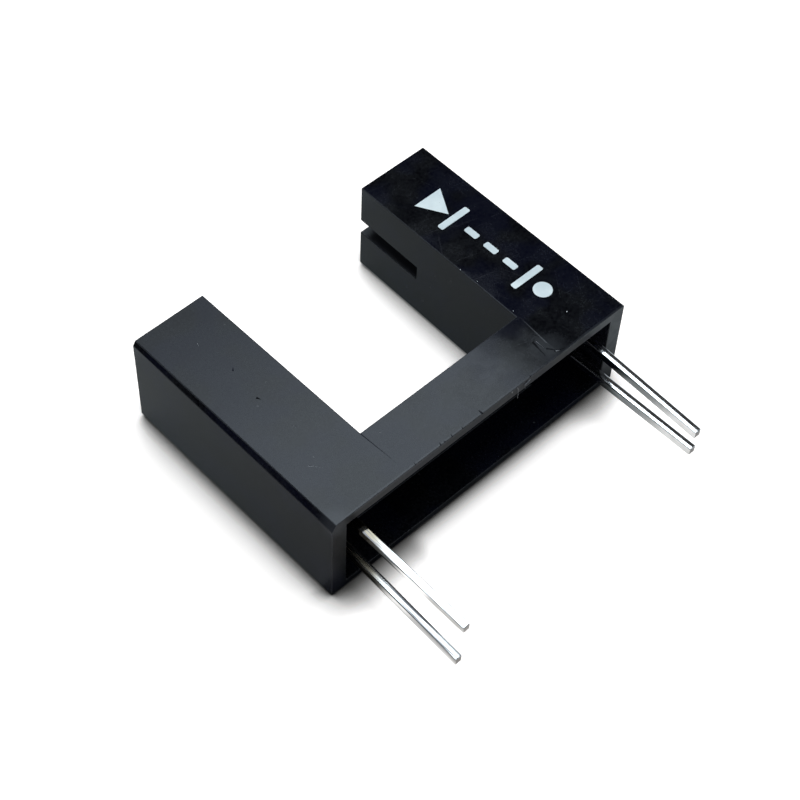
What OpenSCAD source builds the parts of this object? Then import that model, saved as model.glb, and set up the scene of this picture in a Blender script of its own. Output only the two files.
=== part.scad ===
// Slotted optical switch. A hollow moulded U holds an infrared emitter in one arm and a detector
// in the other, and whatever enters the slot between the arms breaks the beam.
// The part lies on one broad face. X runs across the slot, with the detector arm at +X,
// Y runs from the lead ends to the arm tips, and Z runs through the thickness.
// The origin is under the middle of the whole part. All sizes are in millimetres.

/* [Housing] */
// Gap between the arms, measured on the beam
slot_w = 10; // [6:0.5:16]
// Depth of the slot, from its floor to the arm tips
slot_depth = 10.75; // [9:0.25:16]
// Height of the bridge, from the open base to the slot floor
bridge_h = 2.9; // [2.4:0.1:6]
// Wall on the outer side of each arm
outer_wall = 0.85; // [0.6:0.05:1.4]
// Wall between an arm's chamber and the slot
slot_wall = 0.8; // [0.6:0.05:1.2]
// Wall of the two broad faces
face_wall = 0.57; // [0.4:0.01:0.9]
// Wall that closes each arm tip
tip_wall = 0.8; // [0.5:0.05:1.4]
// Wall under the slot floor
floor_wall = 0.8; // [0.5:0.05:1.4]
// Draft of the slot's two side walls, in degrees
slot_draft = 0.6; // [0:0.1:1.5]
// Draft of the upper face, which falls from the base to the arm tips, in degrees
face_draft = 0.45; // [0:0.05:1]
// Width of the chamfer along the emitter arm, which tells the two arms apart
mark_w = 0.22; // [0.1:0.01:0.5]
// Height of that chamfer
mark_h = 0.38; // [0.1:0.01:0.5]

/* [Aperture slits] */
// Width of each slit
slit_w = 0.9; // [0.3:0.05:1.4]
// Length of each slit, measured from the arm tip that it runs out through
slit_len = 4.1; // [2:0.1:6]

/* [Seats for the packages] */
// Clearance round a package in its seat
package_play = 0.08; // [0.02:0.01:0.15]
// Gap between the crown of a lens and the wall behind the slit
lens_gap = 0.17; // [0.1:0.01:0.6]
// Thickness of the two rails that hold a package against the outer wall
rail_t = 0.5; // [0.3:0.05:0.8]
// Gap between a lens and the rails on either side of it
rail_gap = 0.25; // [0.1:0.05:0.4]
// Height of the snap lug under a package
lug_h = 0.25; // [0.15:0.01:0.4]
// Length of the snap lug's ramp
lug_ramp = 0.9; // [0.5:0.1:1.5]
// Width of the snap lug
lug_w = 1.2; // [0.6:0.1:2]

/* [Packages] */
// Width of a package's body, through the thickness of the housing
package_w = 4.5; // [4:0.1:6]
// Height of a package's body, along the arm
package_h = 5.6; // [4.5:0.1:7]
// Thickness of a package's body, without its lens
package_t = 1.2; // [1:0.05:1.8]
// Cut on the two upper corners of a package
package_corner = 0.6; // [0.2:0.1:1]
// Diameter of the lens where it meets the body
lens_d = 3; // [2.4:0.1:3.2]
// Rise of the lens over the body
lens_rise = 1.1; // [0.6:0.05:1.2]
// Distance from the top of a package to the middle of its lens
lens_drop = 1.95; // [1.8:0.05:2.6]

/* [Leads and chips] */
// Pitch of the two leads of a package
lead_pitch = 2.54; // [2.2:0.02:2.8]
// Width of a lead, across the pair
lead_w = 0.45; // [0.3:0.05:0.6]
// Thickness of a lead
lead_t = 0.4; // [0.25:0.05:0.6]
// Length of the longest lead outside the base
lead_out = 6.8; // [3:0.1:15]
// Straight length of a lead under its package, before it starts to lean
lead_root = 0.4; // [0.2:0.1:1]
// Side of the square pad that carries a chip
pad = 1.1; // [0.9:0.05:1.3]
// Gap between the pad and the post beside it
post_gap = 0.2; // [0.1:0.05:0.4]
// Height of the post that takes the bond wire
post_h = 0.8; // [0.5:0.05:1.2]
// Side of the emitter's chip
emitter_chip = 0.35; // [0.25:0.05:0.5]
// Side of the detector's chip
detector_chip = 0.7; // [0.4:0.05:0.8]
// Thickness of a chip
chip_t = 0.2; // [0.1:0.05:0.3]
// Diameter of a bond wire
wire_d = 0.05; // [0.04:0.01:0.08]

/* [Hidden] */
$fn = 64;

// Overshoot of a cut past the face that it opens
over = 1;

// The two arms stand on either side of the middle plane
DETECTOR = 1;
EMITTER = -1;

// How each lead was left by handling: its lean outwards and upwards inside the housing, its lean
// outside the base, both in degrees, and the share of its outer length that was trimmed off
ANODE_LEAN = [[0, 2], [0, -1.3], 0];
CATHODE_LEAN = [[0, 0], [0.4, -3.5], 0.03];
DETECTOR_EMITTER_LEAN = [[-0.7, -2], [-0.6, -1.3], 0.045];
COLLECTOR_LEAN = [[0.8, 1.6], [0.2, 1.4], 0.075];

// Each arm is as wide as the stack of what it holds
arm_w = outer_wall + package_play + package_t + lens_rise + lens_gap + slot_wall;
body_w = slot_w + 2 * arm_w;
body_t = package_w + 2 * (package_play + face_wall);
body_h = bridge_h + slot_depth;

// Places, measured from the middle plane, the open base and the face that it lies on
mid_z = body_t / 2;
chamber_back = body_w / 2 - outer_wall;
chamber_top = body_h - tip_wall;
chamber_half = body_t / 2 - face_wall;
package_back = chamber_back - package_play;
package_front = package_back - package_t;
package_bottom = chamber_top - package_h;
beam_y = chamber_top - lens_drop;
lead_x = package_back - package_t / 2;
pad_face = lead_x - lead_t / 2;
rail_face = package_front - package_play;
lens_r = (pow(lens_d / 2, 2) + pow(lens_rise, 2)) / (2 * lens_rise);
post_inner = pad / 2 + post_gap;
post_outer = (lead_pitch + lead_w) / 2;
post_mid = (post_inner + post_outer) / 2;

// Distance from the middle plane to a slot wall, at a height over the base
function slot_x(y) = slot_w / 2 + (y - beam_y) * tan(slot_draft);

// Both edges of a band of one width round a middle line, as one outline
function band(line, width) = concat(
    [for (p = line) p - [0, width / 2]],
    [for (i = [len(line) - 1 : -1 : 0]) line[i] + [0, width / 2]]
);

// Moves the base to its place, so that the leads and the body balance round the origin
module on_frame() {
    translate([0, (lead_out - body_h) / 2, 0]) children();
}

// Turns what is drawn for the detector arm into the arm asked for
module in_arm(side) {
    if (side == DETECTOR) children();
    else mirror([1, 0, 0]) children();
}

// Extrudes an outline drawn in height and thickness along X, between two planes
module across(from, to) {
    translate([from, 0, 0])
        rotate([90, 0, 90])
            linear_extrude(height = to - from) children();
}

// Outline of the U, seen from above, with its slot opening towards the tips
module body_outline() {
    polygon([
        [-body_w / 2, 0],
        [body_w / 2, 0],
        [body_w / 2, body_h],
        [slot_x(body_h), body_h],
        [slot_x(bridge_h), bridge_h],
        [-slot_x(bridge_h), bridge_h],
        [-slot_x(body_h), body_h],
        [-body_w / 2, body_h],
    ]);
}

// The U with its upper face falling a little from the base to the tips
module body_form() {
    intersection() {
        linear_extrude(height = body_t) body_outline();
        across(-body_w / 2, body_w / 2)
            polygon([
                [0, 0],
                [body_h, 0],
                [body_h, body_t - body_h * tan(face_draft)],
                [0, body_t],
            ]);
    }
}

// Follows the draft of the slot wall, so that this wall has one thickness all the way up
module arm_chamber() {
    translate([0, 0, face_wall])
        linear_extrude(height = body_t - 2 * face_wall)
            polygon([
                [slot_x(-over) + slot_wall, -over],
                [chamber_back, -over],
                [chamber_back, chamber_top],
                [slot_x(chamber_top) + slot_wall, chamber_top],
            ]);
}

module bridge_chamber() {
    translate([-chamber_back, -over, face_wall])
        cube([2 * chamber_back, bridge_h - floor_wall + over, body_t - 2 * face_wall]);
}

// Two rails keep a package against the outer wall and leave room for its lens
module rails() {
    inner_edge = lens_d / 2 + rail_gap;
    depth = chamber_half - inner_edge;
    for (z = [mid_z - chamber_half, mid_z + inner_edge])
        translate([rail_face - rail_t, package_bottom, z]) cube([rail_t, package_h, depth]);
}

// A ramp on the outer wall that a package snaps over as it is pushed in from the base
module snap_lug() {
    shelf = package_bottom - package_play;
    translate([0, 0, mid_z - lug_w / 2])
        linear_extrude(height = lug_w)
            polygon([
                [chamber_back, shelf],
                [chamber_back - lug_h, shelf],
                [chamber_back, shelf - lug_ramp],
            ]);
}

module aperture_slit() {
    start = slot_x(0) - over;
    translate([start, body_h - slit_len, mid_z - slit_w / 2])
        cube([slot_x(body_h) + slot_wall - start, slit_len + over, slit_w]);
}

// Runs along the outer upper edge of the arm that it marks
module arm_mark() {
    translate([body_w / 2, body_h + over, body_t])
        rotate([90, 0, 0])
            linear_extrude(height = body_h + 2 * over)
                polygon([
                    [mark_w, -2 * mark_h],
                    [mark_w, mark_h],
                    [-2 * mark_w, mark_h],
                ]);
}

module housing() {
    color("#1b1d20") on_frame() difference() {
        union() {
            difference() {
                body_form();
                for (side = [EMITTER, DETECTOR]) in_arm(side) arm_chamber();
                bridge_chamber();
            }
            for (side = [EMITTER, DETECTOR]) in_arm(side) {
                rails();
                snap_lug();
            }
        }
        for (side = [EMITTER, DETECTOR]) in_arm(side) aperture_slit();
        in_arm(EMITTER) arm_mark();
    }
}

// Side-looking body with cut upper corners, and a lens that faces the slot
module package_blank() {
    low = mid_z - package_w / 2;
    high = mid_z + package_w / 2;
    across(package_front, package_back)
        polygon([
            [package_bottom, low],
            [chamber_top - package_corner, low],
            [chamber_top, low + package_corner],
            [chamber_top, high - package_corner],
            [chamber_top - package_corner, high],
            [package_bottom, high],
        ]);
    intersection() {
        translate([package_front - lens_rise + lens_r, beam_y, mid_z]) sphere(r = lens_r);
        translate([package_front - lens_rise, beam_y - lens_d / 2, mid_z - lens_d / 2])
            cube([lens_rise + package_t / 4, lens_d, lens_d]);
    }
}

// A square lead from its head down to its trimmed end; up is 1 for the upper one of the pair
module lead_bar(up, head_top, lean) {
    straight = package_bottom - lead_root;
    length = lead_out * (1 - lean[2]);
    z = mid_z + up * lead_pitch / 2;
    at_base = [for (angle = lean[0]) straight * tan(angle)];
    at_end = [for (i = [0, 1]) at_base[i] + length * tan(lean[1][i])];
    stations = [head_top, straight, 0, -length];
    out = [0, 0, at_base[0], at_end[0]];
    rise = [0, 0, at_base[1], at_end[1]];
    intersection() {
        linear_extrude(height = body_t)
            mirror([1, -1, 0])
                polygon(band([for (i = [0 : 3]) [stations[i], lead_x + out[i]]], lead_t));
        across(0, body_w / 2)
            polygon(band([for (i = [0 : 3]) [stations[i], z + rise[i]]], lead_w));
    }
}

// The lower lead widens into a pad for the chip
module pad_lead(lean) {
    low = mid_z - post_outer;
    lead_bar(-1, beam_y + pad / 2, lean);
    translate([pad_face, beam_y - pad / 2, low]) cube([lead_t, pad, mid_z + pad / 2 - low]);
}

// The upper lead ends in a post for the bond wire
module post_lead(lean) {
    lead_bar(1, beam_y + post_h / 2, lean);
    translate([pad_face, beam_y - post_h / 2, mid_z + post_inner])
        cube([lead_t, post_h, post_outer - post_inner]);
}

module chip(side) {
    translate([pad_face - chip_t, beam_y - side / 2, mid_z - side / 2]) cube([chip_t, side, side]);
}

// Rises from the outer quarter of the chip, arches over and drops to the middle of the post
module bond_wire(chip_side) {
    start = chip_side / 4;
    loop_r = (post_mid - start) / 2;
    translate([pad_face - chip_t, beam_y, mid_z + start + loop_r])
        rotate([0, -90, 0])
            rotate([90, 0, 0])
                rotate_extrude(angle = 180) translate([loop_r, 0]) circle(d = wire_d);
    translate([pad_face - chip_t, beam_y, mid_z + post_mid])
        rotate([0, 90, 0]) cylinder(d = wire_d, h = chip_t);
}

module emitter_package() {
    color("#9db4cf") on_frame() in_arm(EMITTER) difference() {
        package_blank();
        post_lead(ANODE_LEAN);
        pad_lead(CATHODE_LEAN);
        chip(emitter_chip);
        bond_wire(emitter_chip);
    }
}

module emitter_anode_lead() {
    color("silver") on_frame() in_arm(EMITTER) post_lead(ANODE_LEAN);
}

module emitter_cathode_lead() {
    color("silver") on_frame() in_arm(EMITTER) pad_lead(CATHODE_LEAN);
}

module emitter_die() {
    color("#8a8f6a") on_frame() in_arm(EMITTER) chip(emitter_chip);
}

module emitter_bond_wire() {
    color("gold") on_frame() in_arm(EMITTER) bond_wire(emitter_chip);
}

module detector_package() {
    color("#17141b") on_frame() in_arm(DETECTOR) difference() {
        package_blank();
        post_lead(DETECTOR_EMITTER_LEAN);
        pad_lead(COLLECTOR_LEAN);
        chip(detector_chip);
        bond_wire(detector_chip);
    }
}

module detector_emitter_lead() {
    color("silver") on_frame() in_arm(DETECTOR) post_lead(DETECTOR_EMITTER_LEAN);
}

module detector_collector_lead() {
    color("silver") on_frame() in_arm(DETECTOR) pad_lead(COLLECTOR_LEAN);
}

module detector_die() {
    color("#4a4d58") on_frame() in_arm(DETECTOR) chip(detector_chip);
}

module detector_bond_wire() {
    color("gold") on_frame() in_arm(DETECTOR) bond_wire(detector_chip);
}

housing();
emitter_package();
emitter_anode_lead();
emitter_cathode_lead();
emitter_die();
emitter_bond_wire();
detector_package();
detector_emitter_lead();
detector_collector_lead();
detector_die();
detector_bond_wire();
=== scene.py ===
# %% [markdown]
# # A slotted optical switch on a white sheet
#
# The part is a hollow U of black plastic with a light source in one arm and a light sensor in the
# other. Four tinned leads come out of its open base. It lies on one broad face on white paper.
# The solids arrive at their true size and place, so everything here is about finish: rounded edges,
# moulding marks, metal, resin and ink, and a light that shows them.

# %% Load the part
from math import radians, tan

import bmesh
import bpy
from mathutils import Matrix, Quaternion, Vector


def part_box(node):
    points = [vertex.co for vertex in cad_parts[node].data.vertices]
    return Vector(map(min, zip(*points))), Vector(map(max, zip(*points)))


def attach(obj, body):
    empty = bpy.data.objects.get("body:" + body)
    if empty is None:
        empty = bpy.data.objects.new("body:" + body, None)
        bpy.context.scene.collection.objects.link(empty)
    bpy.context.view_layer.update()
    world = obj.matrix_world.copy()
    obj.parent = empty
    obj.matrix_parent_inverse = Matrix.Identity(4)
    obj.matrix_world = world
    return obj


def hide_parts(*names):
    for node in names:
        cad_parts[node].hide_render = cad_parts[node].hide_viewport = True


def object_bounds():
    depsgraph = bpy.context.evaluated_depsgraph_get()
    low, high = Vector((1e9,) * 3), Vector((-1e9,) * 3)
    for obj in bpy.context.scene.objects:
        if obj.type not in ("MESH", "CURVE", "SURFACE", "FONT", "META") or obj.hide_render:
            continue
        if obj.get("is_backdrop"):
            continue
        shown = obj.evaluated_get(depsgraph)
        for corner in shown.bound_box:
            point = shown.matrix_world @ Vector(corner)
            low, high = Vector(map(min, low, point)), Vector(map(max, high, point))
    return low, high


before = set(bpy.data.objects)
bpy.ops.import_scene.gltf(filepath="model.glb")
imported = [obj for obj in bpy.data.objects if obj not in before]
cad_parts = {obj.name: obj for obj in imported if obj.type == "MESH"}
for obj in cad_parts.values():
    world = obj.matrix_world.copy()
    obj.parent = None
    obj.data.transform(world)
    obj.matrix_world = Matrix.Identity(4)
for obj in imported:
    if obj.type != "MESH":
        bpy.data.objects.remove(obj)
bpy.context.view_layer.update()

MM = 0.001
shell_low, shell_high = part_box("housing")
print("nodes:", sorted(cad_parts))
print("housing in mm:", [round(side / MM, 3) for side in shell_high - shell_low])

# %% [markdown]
# ## The camera
#
# The camera could be turned by eye until the picture agrees. Here the corners of the housing gave
# the eye's place, the point it looks at, a slight roll and the focal length, so these are written
# down once. The part is small, so the near clipping plane has to come close as well.

# %% Set up the camera
EYE = Vector((-39.362, -36.486, 76.738)) * MM
AIM = Vector((-0.901, 1.037, 2.968)) * MM
ROLL = radians(3.039)
LENS = 87.93

bpy.ops.object.camera_add(location=EYE)
camera = bpy.context.object
camera.name = "bench_camera"
camera.rotation_mode = "QUATERNION"
level_view = (AIM - EYE).to_track_quat("-Z", "Y")
camera.rotation_quaternion = level_view @ Quaternion((0, 0, 1), ROLL)
camera.data.lens = LENS
camera.data.clip_start = 1 * MM
bpy.context.scene.camera = camera
bpy.context.scene.view_settings.view_transform = "Standard"
print("camera distance in mm:", round((AIM - EYE).length / MM, 2))

# %% [markdown]
# ## Building node trees
#
# Every finish below is a tree of shader nodes. A few small helpers add a node, set its options and
# feed its inputs, either from another node's socket or with a plain value, so that a tree can be
# read from top to bottom.

# %% Helpers for node trees
def feed(tree, node, feeds):
    for socket, value in feeds.items():
        if isinstance(value, bpy.types.NodeSocket):
            tree.links.new(value, node.inputs[socket])
        else:
            node.inputs[socket].default_value = value


def make(tree, kind, feeds=None, **options):
    node = tree.nodes.new("ShaderNode" + kind)
    for option, value in options.items():
        setattr(node, option, value)
    feed(tree, node, feeds or {})
    return node


def combine(tree, operation, first, second):
    return make(tree, "Math", {0: first, 1: second}, operation=operation).outputs[0]


def weigh(tree, mask, share):
    return combine(tree, "MULTIPLY", mask, share)


def remap(tree, value, low, high, to_low=0.0, to_high=1.0):
    feeds = {0: value, 1: low, 2: high, 3: to_low, 4: to_high}
    return make(tree, "MapRange", feeds, interpolation_type="SMOOTHSTEP").outputs[0]


def mix_colours(tree, share, first, second):
    return make(tree, "Mix", {0: share, 6: first, 7: second}, data_type="RGBA").outputs[2]


def grey(level):
    return (level, level, level, 1)


print("node helpers ready")

# %% [markdown]
# ## The light
#
# A black part shows its form only by what it mirrors. The table stands in a dim room under one
# bright overhead panel, so that faces which look up at the panel turn grey and faces which look
# just past its edge stay black. Pale walls, low around the table, give the part some tone from
# every side, and a black flag before one of them keeps the long chamfer dark. The panel could be an
# area lamp, but painted on the world by direction it keeps its edges wherever the part is moved. A
# direction is turned into the place where it meets a ceiling one unit up, and the panel is a
# rectangle there that fades to its far end. The camera itself sees plain white.

# %% The overhead panel and the dim room
PANEL_SIDE = (-0.25, 0.605)
PANEL_END = (-0.25, 0.74)
PANEL_BLUR = 0.012
PANEL_FADE_START = 0.46
PANEL_DIM = 0.4
PANEL_BRIGHT = 1.1
LIGHT_COLOUR = (0.88, 1.0, 1.11)
PANEL_LEVEL = 4.3
CEILING_LEVEL = 0.04
LEAST_RISE = 0.001
WALL_LEVEL = 0.7
WALL_RISE = (0.62, 0.38)
FLAG_SIDE = (-0.885, 0.455, -0.1)
FLAG_BLUR = (0.97, 0.88)

world = bpy.data.worlds.new("studio")
bpy.context.scene.world = world
world.use_nodes = True
sky = world.node_tree
sky.nodes.clear()
direction = make(sky, "TexCoord").outputs["Generated"]
look = make(sky, "SeparateXYZ", {0: direction}).outputs
rise = combine(sky, "MAXIMUM", look["Z"], LEAST_RISE)
side = combine(sky, "DIVIDE", look["X"], rise)
end = combine(sky, "DIVIDE", look["Y"], rise)
on_panel = 1.0
for reach, (low, high) in ((side, PANEL_SIDE), (end, PANEL_END)):
    on_panel = weigh(sky, remap(sky, reach, low - PANEL_BLUR, low + PANEL_BLUR), on_panel)
    on_panel = weigh(sky, remap(sky, reach, high + PANEL_BLUR, high - PANEL_BLUR), on_panel)
fade = remap(sky, end, PANEL_END[1], PANEL_FADE_START, PANEL_DIM, PANEL_BRIGHT)
panel, wall = ([level * part for part in LIGHT_COLOUR] + [1] for level in (PANEL_LEVEL, WALL_LEVEL))
to_flag = make(sky, "VectorMath", {0: direction, 1: FLAG_SIDE}, operation="DOT_PRODUCT").outputs["Value"]
on_wall = weigh(sky, remap(sky, look["Z"], *WALL_RISE), remap(sky, to_flag, *FLAG_BLUR))
room = mix_colours(sky, on_wall, grey(CEILING_LEVEL), wall)
glow = mix_colours(sky, weigh(sky, on_panel, fade), room, panel)
path = make(sky, "LightPath").outputs
direct = combine(sky, "MAXIMUM", path["Is Camera Ray"], path["Is Transmission Ray"])
seen = mix_colours(sky, direct, glow, grey(1.0))
backdrop = make(sky, "Background", {"Color": seen, "Strength": 1.0})
make(sky, "OutputWorld", {"Surface": backdrop.outputs[0]})
print("panel level:", PANEL_LEVEL, "wall level:", WALL_LEVEL)

# %% [markdown]
# ## The white sheet
#
# The paper has to keep the part's shadow and still be white. It is a pale diffuse disc, a little
# warm against the cool panel. More light would whiten it too, but then the black plastic would
# mirror a glaring table. So its finish is made in three steps: how deep a spot lies in shade, what
# the plastic and the leads see mirrored in it, and how much light the paper adds of its own.

# %% The sheet
PAPER_RADIUS = 48 * MM
PAPER_CORNERS = 128
PAPER_DROP = 0.01 * MM

bpy.ops.object.select_all(action="DESELECT")
bpy.ops.mesh.primitive_circle_add(
    vertices=PAPER_CORNERS, radius=PAPER_RADIUS, fill_type="NGON", location=(0, 0, -PAPER_DROP)
)
paper = bpy.context.object
paper.name = "white_sheet"
bpy.ops.object.transform_apply(location=True)
paper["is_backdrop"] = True
print("paper radius in mm:", round(PAPER_RADIUS / MM, 1))

# %% [markdown]
# A shadow could be left to the panel alone, but so broad a light hardly throws one. An occlusion
# node tells how much stands near a spot and darkens the paper right under the part's edges. Before
# the open base the shade is deeper and reaches further out by the two arms, because the hollow
# gives no light back. The slot looks straight up at the panel and stays lighter.

# %% Shade on the paper
PAPER_COLOUR = (0.98, 0.862, 0.777, 1)
PAPER_SHADED = (0.14, 0.125, 0.11, 1)
OCCLUSION_SAMPLES = 8
CONTACT_REACH = 1.0 * MM
CONTACT_RANGE = (0.5, 0.95)
SLOT_SIDE = (5.6 * MM, 4.6 * MM)
SLOT_START = (-1 * MM, 0.5 * MM)
SLOT_CLEAR = 0.65
MOUTH_SHADE = 0.57
MOUTH_REACH = 1.0 * MM
ARM_SHADE = 0.87
ARM_REACH = 1.95 * MM
LEFT_ARM = (-3.5 * MM, -5 * MM)
RIGHT_ARM = (5 * MM, 7 * MM)
RIGHT_ARM_SHARE = 0.6
CORNER_FADE = (8 * MM, 10.4 * MM)
BASE_FADE = 1 * MM


def openness(tree, reach):
    return make(tree, "AmbientOcclusion", {"Distance": reach}, samples=OCCLUSION_SAMPLES).outputs["AO"]


paper_finish = bpy.data.materials.new("white_paper")
paper_finish.use_nodes = True
tree = paper_finish.node_tree
tree.nodes.clear()
place = make(tree, "TexCoord").outputs["Object"]
spot = make(tree, "SeparateXYZ", {0: place}).outputs
aside = combine(tree, "ABSOLUTE", spot["X"], 0.0)
in_slot = weigh(tree, remap(tree, aside, *SLOT_SIDE), remap(tree, spot["Y"], *SLOT_START))
by_left_arm = remap(tree, spot["X"], *LEFT_ARM)
by_right_arm = remap(tree, spot["X"], *RIGHT_ARM, 0.0, RIGHT_ARM_SHARE)
by_arm = combine(tree, "MAXIMUM", by_left_arm, by_right_arm)
shade_start = remap(tree, by_arm, 0.0, 1.0, shell_low.y - MOUTH_REACH, shell_low.y - ARM_REACH)
shade_floor = remap(tree, by_arm, 0.0, 1.0, 1.0 - MOUTH_SHADE, 1.0 - ARM_SHADE)
at_mouth = remap(tree, spot["Y"], shade_start, shell_low.y, 1.0, shade_floor)
at_mouth = remap(tree, aside, *CORNER_FADE, at_mouth, 1.0)
behind_base = remap(tree, spot["Y"], shell_low.y, shell_low.y + BASE_FADE)
at_mouth = combine(tree, "MAXIMUM", at_mouth, behind_base)
clear = remap(tree, openness(tree, CONTACT_REACH), *CONTACT_RANGE)
clear = combine(tree, "MAXIMUM", clear, weigh(tree, in_slot, SLOT_CLEAR))
shaded = mix_colours(tree, weigh(tree, clear, at_mouth), PAPER_SHADED, PAPER_COLOUR)
print("shade before the base reaches in mm:", round(MOUTH_REACH / MM, 2), "to", round(ARM_REACH / MM, 2))

# %% [markdown]
# A mirror doesn't show what the camera sees. The plastic mirrors a dimmer sheet that is cool and
# brightens to one side, as by a window, and is almost black before the open base. The leads mirror
# the bright stretch of paper under and beside them. Real cards laid round the part would do the
# same, but masks on the sheet cast no shadow.

# %% What the plastic and the leads mirror
PAPER_MIRRORED = (0.25, 0.22, 0.20, 1)
FRONT_LEFT = (-8 * MM, -2 * MM)
FRONT_LEFT_TONE = 0.5
WINDOW_SLOPE = (5, 8, 0)
MIRRORED_GLOW = 0.13
MIRRORED_FADE = (30 * MM, 22 * MM)
BACK_GLOW = 0.3
BACK_SIDE = (9.5 * MM, 12 * MM)
BACK_END = (12.5 * MM, 15 * MM)
METAL_GLOW = 1.2
METAL_FADE = (-7 * MM, 3 * MM)
UNDER_LEADS = (-5.4 * MM, -8.2 * MM)
BESIDE_LEADS = {"X": (-7.9 * MM, -8.6 * MM), "Y": (-4 * MM, -5.2 * MM)}
PAST_LEADS = {"X": (-8.1 * MM, -8.7 * MM), "Y": (-6 * MM, -7.2 * MM)}
PAST_LEADS_SHARE = 0.48


def in_corner(tree, spot, ranges):
    """A mask of the paper that lies past a range in X and past one in Y."""
    return weigh(tree, *(remap(tree, spot[axis], *ends) for axis, ends in ranges.items()))


path = make(tree, "LightPath").outputs
away = make(tree, "VectorMath", {0: place}, operation="LENGTH").outputs["Value"]
# Painted shade in what the plastic mirrors: the sheet turns darker towards the front left and almost
# black before the open base.
dark_mouth = weigh(tree, at_mouth, at_mouth)
mirrored_lit_share = remap(tree, spot["X"], *FRONT_LEFT, FRONT_LEFT_TONE, 1.0)
mirrored_lit_share = weigh(tree, combine(tree, "MAXIMUM", mirrored_lit_share, behind_base), dark_mouth)
mirrored_sheet = mix_colours(tree, mirrored_lit_share, grey(0.0), PAPER_MIRRORED)
sheet_colour = mix_colours(tree, path["Is Glossy Ray"], shaded, mirrored_sheet)

slope = make(tree, "VectorMath", {0: place, 1: WINDOW_SLOPE}, operation="DOT_PRODUCT").outputs["Value"]
room_glow = combine(tree, "MAXIMUM", combine(tree, "ADD", slope, MIRRORED_GLOW), 0.0)
far_back = combine(tree, "MAXIMUM", remap(tree, spot["X"], *BACK_SIDE), remap(tree, spot["Y"], *BACK_END))
room_glow = combine(tree, "ADD", room_glow, weigh(tree, far_back, BACK_GLOW))

under_leads = remap(tree, spot["Y"], *UNDER_LEADS)
lead_glow = combine(tree, "MAXIMUM", under_leads, in_corner(tree, spot, BESIDE_LEADS))
lead_glow = weigh(tree, lead_glow, remap(tree, spot["X"], *METAL_FADE, METAL_GLOW, METAL_GLOW / 2))
past_leads = in_corner(tree, spot, PAST_LEADS)
lead_glow = weigh(tree, lead_glow, remap(tree, past_leads, 0.0, 1.0, 1.0, PAST_LEADS_SHARE))
mirrored = weigh(tree, dark_mouth, remap(tree, away, *MIRRORED_FADE))
mirrored = weigh(tree, mirrored, path["Is Glossy Ray"])
print("mirrored glow:", MIRRORED_GLOW, "under the leads:", METAL_GLOW)

# %% [markdown]
# A second, wider occlusion node lets the open paper add some light of its own. Far from the part it
# is plain white, so that the rim of the sheet melts into the backdrop.

# %% The paper's own light
SHADOW_REACH = 3.5 * MM
SHADOW_RANGE = (0.45, 0.75)
PAPER_LIFT = 0.5
SLOT_LIFT = 0.18
FRONT_LIFT = 0.18
FRONT_START = 0.6 * MM
FRONT_END = 2 * MM
PAPER_FADE = (20 * MM, 44 * MM)
ROOM_TINT = (0.84, 1.04, 1.12, 1)

near_lift = remap(tree, openness(tree, SHADOW_REACH), *SHADOW_RANGE, 0.0, PAPER_LIFT)
near_lift = combine(tree, "ADD", near_lift, weigh(tree, in_slot, SLOT_LIFT))
in_front = remap(tree, spot["Y"], shell_low.y - FRONT_START, shell_low.y - FRONT_END, 0.0, FRONT_LIFT)
near_lift = weigh(tree, combine(tree, "ADD", near_lift, in_front), at_mouth)
lift = combine(tree, "MAXIMUM", near_lift, remap(tree, away, *PAPER_FADE))
direct = combine(tree, "MAXIMUM", path["Is Camera Ray"], path["Is Transmission Ray"])
white_light = combine(tree, "ADD", weigh(tree, lift, direct), weigh(tree, lead_glow, mirrored))
cool_light = weigh(tree, room_glow, mirrored)

lit = make(tree, "BsdfDiffuse", {"Color": sheet_colour})
for colour, strength in ((grey(1.0), white_light), (ROOM_TINT, cool_light)):
    glow = make(tree, "Emission", {"Color": colour, "Strength": strength})
    lit = make(tree, "AddShader", {0: lit.outputs[0], 1: glow.outputs[0]})
make(tree, "OutputMaterial", {"Surface": lit.outputs[0]})
paper.data.materials.append(paper_finish)
print("finish:", paper_finish.name)

# %% [markdown]
# ## Surface effects that several finishes share
#
# Moulded plastic, cast resin, tin and printed ink all have a fine grain, a slow mottle and a slight
# ripple. The plastic also carries hairline scratches and dust, and the specks that serve as dust
# serve as pinholes in the ink. Each effect is made once as a node group with named inputs, and
# every finish then asks for its own scale. All of them read the object's own coordinates, which are
# metres here, so a scale of 16000 means a grain of about a sixteenth of a millimetre. A scratch is
# noise drawn out one way, and a mapping of the texture type turns it before it is drawn out.

# %% A helper that opens a node group
def open_group(name, inputs, outputs):
    group = bpy.data.node_groups.new(name, "ShaderNodeTree")
    group.interface.new_socket(name="Place", in_out="INPUT", socket_type="NodeSocketVector")
    for label, value in inputs.items():
        socket = group.interface.new_socket(name=label, in_out="INPUT", socket_type="NodeSocketFloat")
        socket.default_value = value
    for label in outputs:
        group.interface.new_socket(name=label, in_out="OUTPUT", socket_type="NodeSocketFloat")
    enter = group.nodes.new("NodeGroupInput").outputs
    leave = group.nodes.new("NodeGroupOutput")
    return group, enter, leave


def use(tree, group, place, **inputs):
    feeds = {"Place": place, **{label.capitalize(): value for label, value in inputs.items()}}
    return make(tree, "Group", feeds, node_tree=group).outputs


def noise(tree, place, scale, detail=2.0):
    return make(tree, "TexNoise", {"Vector": place, "Scale": scale, "Detail": detail}).outputs[0]


print("group helpers ready")

# %% Grain, mottle and ripple
MOTTLE_COARSER = 22
MOTTLE_RANGE = (0.35, 0.65)
RIPPLE_COARSER = 48

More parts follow.
